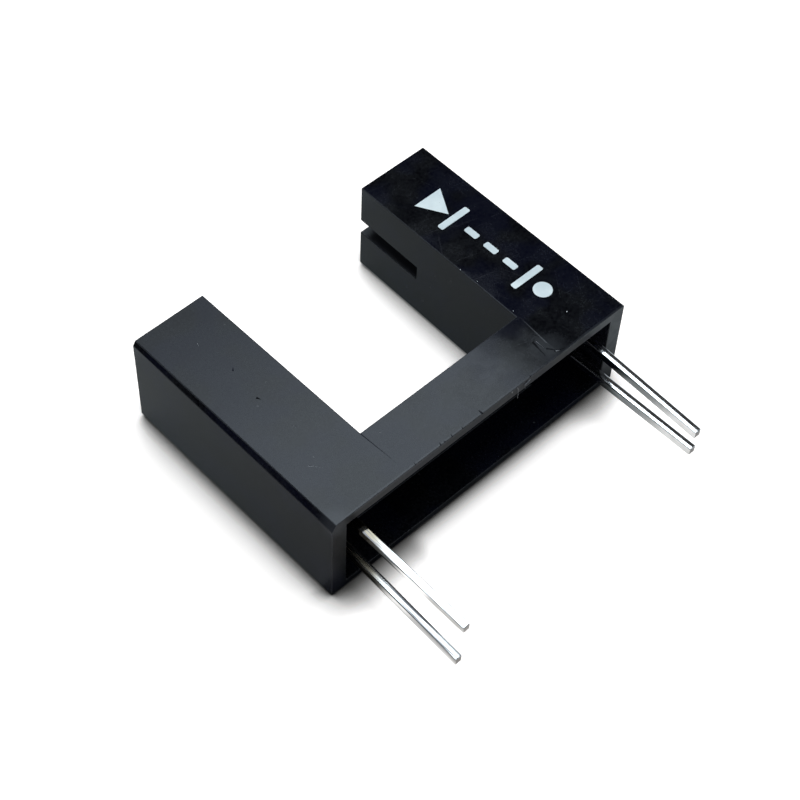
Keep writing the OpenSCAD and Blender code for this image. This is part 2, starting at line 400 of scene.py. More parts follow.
moulded_grain, enter, leave = open_group(
    "moulded_grain", {"Fineness": 16000.0}, ["Grain", "Mottle", "Ripple"]
)
coarser = combine(moulded_grain, "DIVIDE", enter["Fineness"], MOTTLE_COARSER)
coarsest = combine(moulded_grain, "DIVIDE", enter["Fineness"], RIPPLE_COARSER)
patches = noise(moulded_grain, enter["Place"], coarser, 4.0)
feed(moulded_grain, leave, {
    "Grain": noise(moulded_grain, enter["Place"], enter["Fineness"]),
    "Mottle": remap(moulded_grain, patches, *MOTTLE_RANGE),
    "Ripple": noise(moulded_grain, enter["Place"], coarsest, 1.0),
})
print("group:", moulded_grain.name)

# %% Hairline scratches
SCRATCH_TURNS = (radians(18), radians(-37), radians(74))
SCRATCH_STRETCH = 0.035
SCRATCH_RANGE = (0.70, 0.76)

hairlines, enter, leave = open_group("hairlines", {"Fineness": 9000.0}, ["Mask"])
mask = 0.0
for turn in SCRATCH_TURNS:
    turned = make(hairlines, "Mapping", {
        "Vector": enter["Place"], "Rotation": (0, 0, turn), "Scale": (1, 1 / SCRATCH_STRETCH, 1),
    }, vector_type="TEXTURE").outputs[0]
    streak = remap(hairlines, noise(hairlines, turned, enter["Fineness"], 1.0), *SCRATCH_RANGE)
    mask = combine(hairlines, "MAXIMUM", streak, mask)
feed(hairlines, leave, {"Mask": mask})
print("group:", hairlines.name)

# %% Dust
DUST_SIZE = 0.16

dust, enter, leave = open_group("dust", {"Fineness": 2600.0, "Rarity": 0.93}, ["Mask"])
cells = make(dust, "TexVoronoi", {"Vector": enter["Place"], "Scale": enter["Fineness"]})
lot = make(dust, "SeparateColor", {0: cells.outputs["Color"]}).outputs[0]
chosen = combine(dust, "GREATER_THAN", lot, enter["Rarity"])
round_speck = remap(dust, cells.outputs["Distance"], DUST_SIZE, DUST_SIZE / 2)
feed(dust, leave, {"Mask": weigh(dust, chosen, round_speck)})
print("group:", dust.name)

# %% [markdown]
# ## Black plastic
#
# The housing is moulded in a polyester filled with carbon black. It takes almost no light in, so
# its colour is close to black and all the tone comes from a weak, fairly sharp gloss. A lower
# specular level stands for the fine scatter of the mould's finish. Mottle changes the roughness a
# little, the ripple bends the reflections, and rounded edges are dulled by handling.

# %% Helpers for a finish
def start_finish(name):
    finish = bpy.data.materials.new(name)
    finish.use_nodes = True
    tree = finish.node_tree
    place = make(tree, "TexCoord").outputs["Object"]
    return finish, tree, tree.nodes["Principled BSDF"], place


def bump(tree, height, rise, below=None):
    feeds = {"Height": height, "Distance": rise}
    if below is not None:
        feeds["Normal"] = below
    return make(tree, "Bump", feeds).outputs[0]


def paint(tree, colour, layers):
    """Lays colours over each other, each where its mask is and by its share."""
    for mask, share, tint in layers:
        colour = mix_colours(tree, weigh(tree, mask, share), colour, tint)
    return colour


def roughen(tree, roughness, layers):
    for mask, extra in layers:
        roughness = combine(tree, "ADD", roughness, weigh(tree, mask, extra))
    return roughness


print("finish helpers ready")

# %% [markdown]
# The rim of the open base comes from a blasted part of the mould and looks matt and greyer. That
# tone fades in random spots and is darker by the torn spot, and a painted shade darkens it towards
# the foot and towards one end. A painted highlight lies along the front edge of the upper face and
# on its front left corner, and one pale spot lies by the torn spot. Painting these by hand would need
# an image, so each mask is written as a distance from a place or a face.

# %% Wear, painted shade and painted highlights on the plastic
RIM_DEPTH = 0.05 * MM
RIM_FOOT_SHADE = (0.3 * MM, 2 * MM)
TEAR_X = 4.6 * MM
TEAR_REACH = (0.5 * MM, 3 * MM)
TEAR_TONE = 0.1
WEAR_FINENESS = 2200.0
WEAR_RANGE = (0.4, 0.6)
WEAR_TONE = 0.2
# The first spot is a painted highlight on the front left corner of the upper face, the second a pale spot
# by the torn spot.
HIGHLIGHT_AND_PALE_SPOTS = [((-8.95, -3.4, 5.8), 1.2, 0.8), ((4.75, -2.95, 5.8), 1.4, 0.4)]
LINE_WIDTH = 0.14 * MM
LINE_RUN = (-5 * MM, 0)
LINE_TONE = (0.9, 0.45)
LINE_RISE = (5.6 * MM, 5.75 * MM)

black_plastic, tree, shader, place = start_finish("black_plastic")
worn = make(tree, "Attribute", attribute_name="worn_edge").outputs["Fac"]
blasted_and_lit = make(tree, "Attribute", attribute_name="blasted_and_lit").outputs["Fac"]
spot = make(tree, "SeparateXYZ", {0: place}).outputs
on_rim = remap(tree, spot["Y"], shell_low.y + RIM_DEPTH, shell_low.y + RIM_DEPTH / 2)
from_tear = combine(tree, "ABSOLUTE", combine(tree, "SUBTRACT", spot["X"], TEAR_X), 0.0)
# Painted shade: the rim's pale grey fades towards the low-x end and towards the foot. It is also darker
# by the torn spot, and fades in random spots.
rim_lit_tone = remap(tree, spot["X"], shell_low.x, shell_high.x)
rim_lit_tone = weigh(tree, rim_lit_tone, remap(tree, spot["Z"], *RIM_FOOT_SHADE))
rim_lit_tone = weigh(tree, rim_lit_tone, remap(tree, from_tear, *TEAR_REACH, TEAR_TONE, 1.0))
rim_wear = remap(tree, noise(tree, place, WEAR_FINENESS), *WEAR_RANGE, WEAR_TONE, 1.0)
rim_lit_tone = weigh(tree, rim_lit_tone, rim_wear)
rim_shade_and_wear = weigh(tree, on_rim, combine(tree, "SUBTRACT", 1.0, rim_lit_tone))
pale = weigh(tree, blasted_and_lit, combine(tree, "SUBTRACT", 1.0, rim_shade_and_wear))

# Painted highlight: a pale line along the rounded front edge of the upper face, strongest to the left.
highlit_and_pale = remap(tree, spot["Y"], shell_low.y + LINE_WIDTH, shell_low.y + LINE_WIDTH / 2)
highlit_and_pale = weigh(tree, highlit_and_pale, remap(tree, spot["X"], *LINE_RUN, *LINE_TONE))
highlit_and_pale = weigh(tree, highlit_and_pale, remap(tree, spot["Z"], *LINE_RISE))
for middle, reach, share in HIGHLIGHT_AND_PALE_SPOTS:
    from_spot = make(tree, "VectorMath", {0: place, 1: Vector(middle) * MM}, operation="DISTANCE")
    patch = remap(tree, from_spot.outputs["Value"], reach * MM, reach * MM / 4, 0.0, share)
    highlit_and_pale = combine(tree, "MAXIMUM", patch, highlit_and_pale)
print("rubbed spots:", len(HIGHLIGHT_AND_PALE_SPOTS))

# %% [markdown]
# With the wear and the painted light known, the colour is laid on in layers: two blacks in fine
# clouds, bluish patches, then scratches, dust, dulled edges, the blasted faces with their painted
# shade and painted light, and the painted highlights.

# %% The plastic
INK_BLACK = (0.0006, 0.0006, 0.0016, 1)
SOOT_BLACK = (0.0075, 0.0080, 0.0092, 1)
BLUE_BLACK = (0.0035, 0.0045, 0.0160, 1)
# This grey colours scratches and ink pinholes, and also the painted highlights.
SCUFF_AND_HIGHLIGHT_GREY = (0.030, 0.031, 0.034, 1)
DUST_GREY = (0.20, 0.20, 0.19, 1)
EDGE_GREY = (0.024, 0.025, 0.027, 1)
BLAST_AND_LIGHT_GREY = (0.055, 0.055, 0.058, 1)
FLECK_FINENESS = 7000.0
FLECK_RANGE = (0.32, 0.68)
FLECK_SHARE = 0.7
BLUE_FINENESS = 420.0
BLUE_RANGE = (0.42, 0.6)
PLASTIC_ROUGHNESS = (0.065, 0.105)
PLASTIC_SPECULAR = 0.214
GRAIN_RISE = 0.00008 * MM
RIPPLE_RISE = 0.0035 * MM

grain = use(tree, moulded_grain, place, fineness=16000.0)
scratch = use(tree, hairlines, place, fineness=9000.0)["Mask"]
speck = use(tree, dust, place, fineness=2600.0, rarity=0.955)["Mask"]
flecks = remap(tree, use(tree, moulded_grain, place, fineness=FLECK_FINENESS)["Grain"], *FLECK_RANGE)
slow_clouds = weigh(tree, grain["Mottle"], 1 - FLECK_SHARE)
clouds = combine(tree, "ADD", weigh(tree, flecks, FLECK_SHARE), slow_clouds)
bluish = remap(tree, noise(tree, place, BLUE_FINENESS), *BLUE_RANGE)
colour = paint(tree, mix_colours(tree, clouds, INK_BLACK, SOOT_BLACK), [
    (bluish, 0.34, BLUE_BLACK),
    (scratch, 0.08, SCUFF_AND_HIGHLIGHT_GREY),
    (speck, 0.16, DUST_GREY),
    (worn, 0.7, EDGE_GREY),
    (pale, 0.36, BLAST_AND_LIGHT_GREY),
    (highlit_and_pale, 0.9, SCUFF_AND_HIGHLIGHT_GREY),
])
roughness = remap(tree, grain["Mottle"], 0.0, 1.0, *PLASTIC_ROUGHNESS)
roughness = roughen(tree, roughness, [(scratch, 0.03), (worn, 0.12), (blasted_and_lit, 0.30)])
rippled = bump(tree, grain["Ripple"], RIPPLE_RISE)
feed(tree, shader, {
    "Base Color": colour,
    "Roughness": roughness,
    "Specular IOR Level": PLASTIC_SPECULAR,
    "Normal": bump(tree, grain["Grain"], GRAIN_RISE, rippled),
})
print("finish:", black_plastic.name)

# %% [markdown]
# ## Tinned leads
#
# The leads are stamped from a copper-iron strip and dipped in tin. Drawing and stamping leave fine
# lines along their length, so the noise is stretched that way. Where they were cut to length the
# bare strip shows darker, which is every face that looks along the lead. The source's two leads are
# the older looking ones: both are stained brown by their roots, and the lower one is duller, with
# streaks of smut that run down it. A lead falls a little on its way, so the streaks are turned to
# follow it, and they show most on the faces that look up.

# %% Stain and smut on the tin
DRAWN_STRETCH = 0.02
LOW_LEAD_FALL = radians(3.5)
SOURCE_SIDE = (0, -5 * MM)
ROOT_REACH = (-6.2 * MM, -4.2 * MM)
LOW_LEAD = (3.2 * MM, 2.6 * MM)
STREAK_FINENESS = 12000.0
STREAK_RANGE = (0.44, 0.56)
UPWARD = (0.2, 0.9)
SIDE_SMUT = 0.3

bright_tin, tree, shader, place = start_finish("bright_tin")
normal = make(tree, "NewGeometry").outputs["Normal"]
facing = make(tree, "SeparateXYZ", {0: normal}).outputs
spot = make(tree, "SeparateXYZ", {0: place}).outputs
source_side = remap(tree, spot["X"], *SOURCE_SIDE)
by_root = weigh(tree, remap(tree, spot["Y"], *ROOT_REACH), source_side)
low_lead = weigh(tree, remap(tree, spot["Z"], *LOW_LEAD), source_side)
down_low_lead = make(tree, "Mapping", {
    "Vector": place, "Rotation": (LOW_LEAD_FALL, 0, 0), "Scale": (1, 1 / DRAWN_STRETCH, 1),
}, vector_type="TEXTURE").outputs[0]
streaks = remap(tree, noise(tree, down_low_lead, STREAK_FINENESS, 1.0), *STREAK_RANGE)
smut = weigh(tree, streaks, combine(tree, "MAXIMUM", by_root, low_lead))
smut = weigh(tree, smut, remap(tree, facing["Z"], *UPWARD, SIDE_SMUT, 1.0))
print("streaks follow a fall of", round(LOW_LEAD_FALL, 3), "radians")

# %% The tin
BRIGHT_TIN = (0.88, 0.87, 0.86, 1)
DULL_TIN = (0.74, 0.73, 0.71, 1)
STAINED_TIN = (0.125, 0.10, 0.06, 1)
CUT_STRIP = (0.20, 0.19, 0.18, 1)
SMUT_GREY = (0.08, 0.077, 0.08, 1)
DRAWN_FINENESS = 26000.0
DRAWN_RANGE = (0.3, 0.7)
DRAWN_RISE = 0.00022 * MM
CUT_FACING = (-0.75, -0.95)
TIN_ROUGHNESS = (0.06, 0.13)

along = make(tree, "Mapping", {"Vector": place, "Scale": (1, DRAWN_STRETCH, 1)}).outputs[0]
lines = noise(tree, along, DRAWN_FINENESS)
grain = use(tree, moulded_grain, place, fineness=30000.0)
cut_end = remap(tree, facing["Y"], *CUT_FACING)
colour = paint(tree, mix_colours(tree, grain["Mottle"], BRIGHT_TIN, DULL_TIN), [
    (by_root, 0.94, STAINED_TIN),
    (smut, 0.9, SMUT_GREY),
    (cut_end, 1.0, CUT_STRIP),
])
roughness = remap(tree, lines, *DRAWN_RANGE, *TIN_ROUGHNESS)
roughness = roughen(tree, roughness, [(cut_end, 0.25), (low_lead, 0.16)])
drawn = bump(tree, lines, DRAWN_RISE)
feed(tree, shader, {
    "Base Color": colour,
    "Metallic": 1.0,
    "Roughness": roughness,
    "Normal": bump(tree, grain["Grain"], GRAIN_RISE, drawn),
})
print("finish:", bright_tin.name)

# %% [markdown]
# ## Resin, chips and bond wires
#
# The light source is cast in clear, faintly blue epoxy, and the sensor in a nearly black one that
# only lets infrared through. Inside each sits a chip with a metal contact, and a gold wire runs
# from that contact to the second lead. These solids already have the right shape, so they keep it
# and only take a finish.

# %% The two resins
CLEAR_TINT = (0.86, 0.92, 0.98, 1)
MILKY_TINT = (0.78, 0.86, 0.95, 1)
SMOKE_BLACK = (0.010, 0.006, 0.012, 1)
SMOKE_VIOLET = (0.018, 0.010, 0.022, 1)
RESIN_IOR = 1.54
RESIN_ROUGHNESS = (0.04, 0.12)
RESIN_RISE = 0.0002 * MM


def cast_resin(name, first, second, fixed):
    finish, tree, shader, place = start_finish(name)
    grain = use(tree, moulded_grain, place, fineness=12000.0)
    feed(tree, shader, {
        "Base Color": mix_colours(tree, grain["Mottle"], first, second),
        "Roughness": remap(tree, grain["Mottle"], 0.0, 1.0, *RESIN_ROUGHNESS),
        "Normal": bump(tree, grain["Grain"], RESIN_RISE),
        "IOR": RESIN_IOR,
        **fixed,
    })
    return finish


clear_resin = cast_resin("clear_resin", CLEAR_TINT, MILKY_TINT, {"Transmission Weight": 1.0})
smoke_resin = cast_resin("smoke_resin", SMOKE_BLACK, SMOKE_VIOLET, {"Coat Weight": 0.4})
print("finishes:", clear_resin.name, smoke_resin.name)

# %% The chips
EMITTER_BROWN = (0.11, 0.10, 0.07, 1)
SENSOR_BLUE = (0.025, 0.03, 0.06, 1)
CONTACT_GOLD = (0.95, 0.68, 0.28, 1)
CONTACT_BLUR = 0.1
SAWN_PALER = 1.6
CHIP_GRAIN = 60000.0
CHIP_METAL = 0.3
CHIP_ROUGHNESS = (0.18, 0.35)
EMITTER_CHIP_SIDE = 0.35 * MM
SENSOR_CHIP_SIDE = 0.70 * MM


def chip_finish(name, node, body, contact_radius, contact_up):
    """A chip seen from the slot, with a round contact above its middle."""
    low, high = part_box(node)
    middle = (low + high) / 2
    finish, tree, shader, place = start_finish(name)
    contact = Vector((middle.x, middle.y, middle.z + contact_up))
    centred = make(tree, "Mapping", {"Vector": place, "Location": -contact})
    flat = make(tree, "VectorMath", {0: centred.outputs[0], 1: (0, 1, 1)}, operation="MULTIPLY")
    away = make(tree, "VectorMath", {0: flat.outputs[0]}, operation="LENGTH").outputs["Value"]
    blur = contact_radius * CONTACT_BLUR
    on_contact = remap(tree, away, contact_radius + blur, contact_radius - blur)
    grain = use(tree, moulded_grain, place, fineness=CHIP_GRAIN)
    sawn = mix_colours(tree, grain["Mottle"], body, [part * SAWN_PALER for part in body[:3]] + [1])
    feed(tree, shader, {
        "Base Color": mix_colours(tree, on_contact, sawn, CONTACT_GOLD),
        "Metallic": remap(tree, on_contact, 0.0, 1.0, CHIP_METAL, 1.0),
        "Roughness": remap(tree, grain["Mottle"], 0.0, 1.0, *CHIP_ROUGHNESS),
        "Normal": bump(tree, grain["Grain"], GRAIN_RISE),
    })
    return finish


emitter_chip = chip_finish(
    "emitter_chip", "emitter_die", EMITTER_BROWN, EMITTER_CHIP_SIDE / 6, EMITTER_CHIP_SIDE / 4
)
sensor_chip = chip_finish(
    "sensor_chip", "detector_die", SENSOR_BLUE, SENSOR_CHIP_SIDE / 9, SENSOR_CHIP_SIDE / 4
)
print("finishes:", emitter_chip.name, sensor_chip.name)

# %% The gold wire, and a finish for each inner solid
WIRE_GOLD = (1.0, 0.74, 0.32, 1)
WIRE_DARKER = (0.90, 0.62, 0.24, 1)
WIRE_ROUGHNESS = (0.14, 0.26)

bond_gold, tree, shader, place = start_finish("bond_gold")
grain = use(tree, moulded_grain, place, fineness=80000.0)
feed(tree, shader, {
    "Base Color": mix_colours(tree, grain["Mottle"], WIRE_GOLD, WIRE_DARKER),
    "Metallic": 1.0,
    "Roughness": remap(tree, grain["Mottle"], 0.0, 1.0, *WIRE_ROUGHNESS),
    "Normal": bump(tree, grain["Grain"], GRAIN_RISE),
})

INNER_FINISHES = {
    "emitter_package": clear_resin,
    "detector_package": smoke_resin,
    "emitter_die": emitter_chip,
    "detector_die": sensor_chip,
    "emitter_bond_wire": bond_gold,
    "detector_bond_wire": bond_gold,
}
for node, finish in INNER_FINISHES.items():
    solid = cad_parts[node]
    solid.data.materials.clear()
    solid.data.materials.append(finish)
    print(node, "gets", finish.name)

# %% [markdown]
# ## Taking up the solids
#
# A solid comes in as loose triangles with knife-sharp edges. A real moulding or a stamped lead never
# has such edges, and it is the thin line along a rounded edge that makes a small part look real.
# So a solid that shows is copied, its triangles are merged into whole faces, and the edges that a
# maker would find rounded get a bevel. The bevel tags its new faces with a second material slot,
# and that tag becomes the worn_edge attribute which the finishes read.

# %% Helpers for copies with rounded edges
MERGE = 0.0005 * MM
FLAT = radians(0.1)
SHARP = radians(25)
SMOOTH = radians(40)
ROUND_STEPS = 3
NEAR = 0.01 * MM


def pick(piece):
    bpy.ops.object.select_all(action="DESELECT")
    piece.select_set(True)
    bpy.context.view_layer.objects.active = piece


def fresh_copy(node, name):
    piece = bpy.data.objects.new(name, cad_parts[node].data.copy())
    bpy.context.scene.collection.objects.link(piece)
    piece.data.name = name
    piece.data.materials.clear()
    pick(piece)
    bpy.ops.mesh.customdata_custom_splitnormals_clear()
    bpy.ops.object.mode_set(mode="EDIT")
    bpy.ops.mesh.select_all(action="SELECT")
    bpy.ops.mesh.remove_doubles(threshold=MERGE)
    bpy.ops.mesh.dissolve_limited(angle_limit=FLAT)
    bpy.ops.object.mode_set(mode="OBJECT")
    return piece


def apply_modifier(piece, kind, **options):
    pick(piece)
    modifier = piece.modifiers.new(kind.lower(), kind)
    for option, value in options.items():
        setattr(modifier, option, value)
    bpy.ops.object.modifier_apply(modifier=modifier.name)


def round_edges(piece, finish, width, share_of):
    """Bevels each edge by its share of the width and marks the new faces as worn."""
    for _ in range(2):
        piece.data.materials.append(finish)
    shape = bmesh.new()
    shape.from_mesh(piece.data)
    shares = [share_of(edge) for edge in shape.edges]
    shape.free()
    weight = piece.data.attributes.new("bevel_weight_edge", "FLOAT", "EDGE")
    weight.data.foreach_set("value", shares)
    apply_modifier(
        piece, "BEVEL", width=width, segments=ROUND_STEPS, limit_method="WEIGHT",
        use_clamp_overlap=False, material=1,
    )
    worn = piece.data.attributes.new("worn_edge", "FLOAT", "FACE")
    worn.data.foreach_set("value", [float(face.material_index) for face in piece.data.polygons])
    piece.data.materials.pop(index=1)
    return sum(share > 0 for share in shares)


print("copy helpers ready")

# %% [markdown]
# ## The housing
#
# The outer edges of the U are rounded by the mould, the lower ones most. The chambers inside stay
# crisp. One arm's upper face sank a little towards its outer side as the plastic cooled, which is
# why it mirrors the dim room and looks blacker than the rest. The face is split along the line
# where the arm begins, and its outer corners are lowered.

# %% Copy the housing and let one arm's face sink
BRIDGE = 2.9 * MM
JUNCTION = 4.916 * MM
ARM_SINK = 0.03 * MM
FACE_DEPTH = 0.3 * MM
LEVEL = 0.99

base_y, tip_y = shell_low.y, shell_high.y
slot_floor = base_y + BRIDGE
shell = fresh_copy("housing", "moulded_shell")


def is_upper(point):
    return point.z > shell_high.z - FACE_DEPTH


pick(shell)
bpy.ops.object.mode_set(mode="EDIT")
bpy.ops.mesh.select_mode(type="FACE")
bpy.ops.mesh.select_all(action="DESELECT")
shape = bmesh.from_edit_mesh(shell.data)
for face in shape.faces:
    face.select_set(face.normal.z > LEVEL and is_upper(face.calc_center_median()))
bpy.ops.mesh.bisect(plane_co=(JUNCTION, 0, 0), plane_no=(1, 0, 0))
bpy.ops.mesh.mark_sharp()
bpy.ops.mesh.select_mode(type="VERT")
bpy.ops.mesh.select_all(action="DESELECT")
shape = bmesh.from_edit_mesh(shell.data)
for corner in shape.verts:
    corner.select_set(corner.co.x > shell_high.x - NEAR and is_upper(corner.co))
lowered = sum(corner.select for corner in shape.verts)
bpy.ops.transform.translate(value=(0, 0, -ARM_SINK))
bpy.ops.object.mode_set(mode="OBJECT")
print("corners lowered:", lowered)

# %% Round the outer edges
SLOT_REACH = 5.1 * MM
SIDE_DEPTH = 0.25 * MM
FOOT_ROUND = 0.2 * MM
EDGE_SHARE = 0.22
FRONT_SHARE = 0.14
MOUTH_SHARE = 0.1
FACING_UP = 0.9


def looks_out(face):
    """True for a face on the outside of the U, the slot and the open base."""
    middle = face.calc_center_median()
    on_foot = middle.z < NEAR and face.normal.z < 0
    on_top = is_upper(middle) and face.normal.z > FACING_UP
    on_side = abs(middle.x) > shell_high.x - SIDE_DEPTH and face.normal.x * middle.x > 0
    on_base = middle.y < base_y + NEAR
    on_tip = middle.y > tip_y - NEAR
    in_slot = abs(middle.x) < SLOT_REACH and middle.y > slot_floor - NEAR
    return on_foot or on_top or on_side or on_base or on_tip or in_slot


def shell_share(edge):
    if len(edge.link_faces) != 2 or edge.calc_face_angle(0) < SHARP:
        return 0.0
    if not any(looks_out(face) for face in edge.link_faces):
        return 0.0
    if all(corner.co.z < NEAR for corner in edge.verts):
        return 1.0
    if not all(corner.co.y < base_y + NEAR for corner in edge.verts):
        return EDGE_SHARE
    return FRONT_SHARE if all(is_upper(corner.co) for corner in edge.verts) else MOUTH_SHARE


rounded = round_edges(shell, black_plastic, FOOT_ROUND, shell_share)
print("edges rounded:", rounded, "faces now:", len(shell.data.polygons))

# %% Mark the blasted faces and the painted light inside the hollow
WALL_BLAST = 0.25

shape = bmesh.new()
shape.from_mesh(shell.data)


def blast_and_light_share(face):
    if face.calc_center_median().y < base_y + NEAR:
        return 1.0
    if looks_out(face):
        return 0.0
    # Inside the hollow, faces that look up take the full pale grey and the walls only a share: a painted
    # light on the hollow's floor.
    return 1.0 if face.normal.z > FACING_UP else WALL_BLAST


rough_faces = [blast_and_light_share(face) for face in shape.faces]
shape.free()
blasted_and_lit = shell.data.attributes.new("blasted_and_lit", "FLOAT", "FACE")
blasted_and_lit.data.foreach_set("value", rough_faces)
print("blasted faces:", sum(share > 0 for share in rough_faces))

# %% [markdown]
# The mould and later handling left small marks on the upper face: a faint groove at each end of the
# bridge, where the slot's core met the cavity, a torn spot beside one of them, a pit, a nick on one
# arm and a row of nicks along the front edge. Painting them as bump would vanish from the side, so
# each is cut with a slim four-sided spike that lies in the face, broad at one end and running out
# to nothing at the other. A mark is its start, its end, half its width and its depth, in mm.

# %% Cut the moulding marks
FACE_FALL = radians(0.45)
MARKS = {
    "left_groove": ((-4.916, -0.43), (-4.82, -2.95), 0.055, 0.012),
    "right_groove": ((4.86, -2.55), (5.06, -0.45), 0.05, 0.012),
    "tear_long": ((4.42, -2.08), (4.29, -3.12), 0.07, 0.05),
    "tear_hook": ((4.36, -2.16), (4.72, -1.98), 0.06, 0.035),
    "tear_cross": ((4.62, -2.76), (5.02, -3.28), 0.06, 0.04),
    "tear_strand": ((4.80, -3.11), (5.40, -3.38), 0.06, 0.05),
    "edge_nick": ((-0.14, -3.46), (-0.15, -3.12), 0.07, 0.05),
    "pit": ((-7.06, 4.03), (-6.96, 3.80), 0.06, 0.05),
    "nick": ((-6.86, 5.88), (-6.70, 6.06), 0.04, 0.015),
}
FRONT_NICKS = [(-4.28, 0.14), (-2.72, 0.20), (-2.48, 0.12), (-2.02, 0.16), (-1.38, 0.13), (2.93, 0.15)]
FRONT_EDGE = -3.425
NICK_START = -3.46
NICK_HALF_WIDTH = 0.05
NICK_DEPTH = 0.045
for order, (x, length) in enumerate(FRONT_NICKS, start=1):
    nick_end = (x + length / 4, FRONT_EDGE + length)
    MARKS[f"front_nick_{order}"] = ((x, NICK_START), nick_end, NICK_HALF_WIDTH, NICK_DEPTH)


def upper_face(x, y):
    fall = (y - base_y) * tan(FACE_FALL)
    sink = ARM_SINK * max(0.0, x - JUNCTION) / (shell_high.x - JUNCTION)
    return Vector((x, y, shell_high.z - fall - sink))


def spike(start, end, half_width, depth):
    start, end = (upper_face(x * MM, y * MM) for x, y in (start, end))
    run = end - start
    bpy.ops.object.select_all(action="DESELECT")
    bpy.ops.mesh.primitive_cone_add(
        vertices=4, radius1=half_width * MM, radius2=0, depth=run.length, location=(start + end) / 2
    )
    cutter = bpy.context.object
    cutter.rotation_mode = "QUATERNION"
    cutter.rotation_quaternion = run.to_track_quat("Z", "Y")
    cutter.scale.y = depth / half_width
    return cutter


cut_tag = bpy.data.materials.new("cut_tag")
for name, mark in MARKS.items():
    cutter = spike(*mark)
    cutter.data.materials.append(cut_tag)
    apply_modifier(
        shell, "BOOLEAN", object=cutter, operation="DIFFERENCE", solver="EXACT", material_mode="TRANSFER"
    )
    bpy.data.objects.remove(cutter)
    cut_faces = sum(face.material_index > 0 for face in shell.data.polygons)
    print(name, "cut, faces so far:", cut_faces)

# %% Smooth the housing but keep the cuts crisp
pick(shell)
bpy.ops.object.shade_smooth_by_angle(angle=SMOOTH)
shape = bmesh.new()
shape.from_mesh(shell.data)
for face in shape.faces:
    if face.material_index > 0:
        face.material_index = 0
        for edge in face.edges:
            edge.smooth = False
shape.to_mesh(shell.data)
shape.free()
while len(shell.data.materials) > 1:
    shell.data.materials.pop(index=1)
bpy.data.materials.remove(cut_tag)
apply_modifier(shell, "WEIGHTED_NORMAL", keep_sharp=True, weight=100)
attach(shell, "root")
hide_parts("housing")
print("housing faces:", len(shell.data.polygons))

# %% [markdown]
# ## The leads
#
# Stamping rolls the edges of a lead over, so its faces are slightly crowned. A bevel on every sharp
# edge and plain smooth shading across it give that crown: one side of a face turns up to the panel
# and shines, the other turns to the dim room and draws a black line along the lead. Handling has
# turned each lead a little about its own length, so no two of them shine alike.

# %% Round the leads
LEAD_ROUND = 0.05 * MM
LEADS = {
    "emitter_anode_lead": ("anode_lead", radians(-3.5)),
    "emitter_cathode_lead": ("cathode_lead", radians(2.4)),
    "detector_emitter_lead": ("sensor_emitter_lead", radians(1.5)),
    "detector_collector_lead": ("sensor_collector_lead", radians(1.5)),
}


def lead_share(edge):
    return float(len(edge.link_faces) == 2 and edge.calc_face_angle(0) > SHARP)


def twist(piece, turn):
    """Turns a lead about its own length."""
    outside = [corner.co for corner in piece.data.vertices if corner.co.y < base_y]
    middle = sum(outside, Vector()) / len(outside)
    to_middle = Matrix.Translation(middle)
    piece.data.transform(to_middle @ Matrix.Rotation(turn, 4, "Y") @ to_middle.inverted())


for node, (name, turn) in LEADS.items():
    lead = fresh_copy(node, name)
    twist(lead, turn)
    rounded = round_edges(lead, bright_tin, LEAD_ROUND, lead_share)
    pick(lead)
    bpy.ops.object.shade_smooth_by_angle(angle=SMOOTH)
    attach(lead, "root")
    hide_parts(node)
    print(name, "edges rounded:", rounded)

# %% [markdown]
# ## Whiskers of flash
#
# Plastic that squeezes into the joint of a mould leaves thin flash, and where it is torn off,
# whiskers stay behind. Some hang from the front edge of the bridge and some lie in the torn spot.
# On the other arm one lies flat like a long pale scratch, with two flecks further up. They could be
# bent cones, but grown by extrusion from a small ring, each ring smaller and further along, they
# curl as they should. Stretched plastic turns pale, so they have a finish of their own.

# %% The pale finish
FLASH_GREY = (0.10, 0.10, 0.11, 1)
FLASH_PALE = (0.22, 0.22, 0.22, 1)
FLASH_ROUGHNESS = (0.35, 0.6)
GRAIN_RANGE = (0.3, 0.7)

pale_flash, tree, shader, place = start_finish("pale_flash")
grain = use(tree, moulded_grain, place, fineness=40000.0)
feed(tree, shader, {
    "Base Color": mix_colours(tree, grain["Mottle"], FLASH_GREY, FLASH_PALE),
    "Roughness": remap(tree, grain["Grain"], *GRAIN_RANGE, *FLASH_ROUGHNESS),
    "Normal": bump(tree, grain["Grain"], GRAIN_RISE),
})
print("finish:", pale_flash.name)

# %% Grow the whiskers
WHISKER_RADIUS = 0.03 * MM
WHISKER_TAPER = 0.85
WHISKER_CORNERS = 6
EDGE_WHISKERS = [
    [
        (2.08, -3.22, 5.76), (2.10, -3.40, 5.76), (2.12, -3.46, 5.60),
        (2.14, -3.47, 5.24), (2.17, -3.45, 4.87),
    ],
    [(1.76, -3.24, 5.76), (1.73, -3.41, 5.76), (1.74, -3.46, 5.68)],
    [(2.92, -3.42, 5.62), (2.70, -3.46, 5.60), (2.54, -3.46, 5.54), (2.60, -3.46, 5.24)],
]
TORN_WHISKERS = [
    [(4.58, -2.16), (4.58, -2.58), (4.48, -2.96), (4.56, -3.10), (4.74, -3.32)],
    [(4.86, -3.14), (5.05, -3.27), (5.26, -3.33)],
    [(-7.81, -0.29), (-7.58, -0.55), (-7.35, -0.84)],
    [(-6.86, 1.76), (-6.80, 1.64)],
    [(-7.03, 8.18), (-7.09, 8.02)],
]
TORN_SINK = 0.022 * MM


